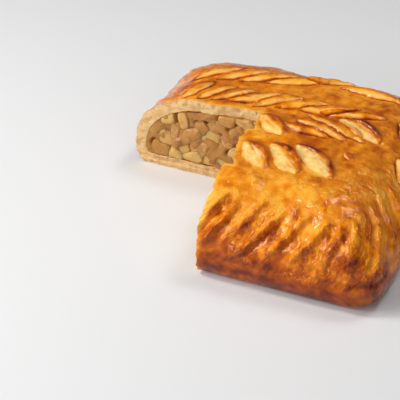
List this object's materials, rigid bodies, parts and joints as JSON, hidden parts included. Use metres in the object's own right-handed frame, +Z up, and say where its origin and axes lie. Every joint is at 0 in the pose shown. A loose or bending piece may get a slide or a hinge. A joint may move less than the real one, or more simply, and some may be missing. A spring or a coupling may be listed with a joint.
{
  "type": "apple pie",
  "caption": "Square apple pie with a slashed golden lid and puffed sides, one corner cut away to show the diced apple filling.",
  "frame": {"origin": "under the middle of the pie, on the flat underside it rests on", "axes": "+Z up, -Y the front side, -X the left side; the cut-away corner is at -X and -Y"},
  "size_m": [0.219, 0.218, 0.0629],
  "materials": {
    "crust": "egg-washed yeast dough baked golden brown, glossy, with pale open slashes",
    "filling": "cooked apple dice in moist amber jelly"
  },
  "bodies": {
    "root": {"crust": "crust", "filling": "filling"}
  },
  "joints": []
}
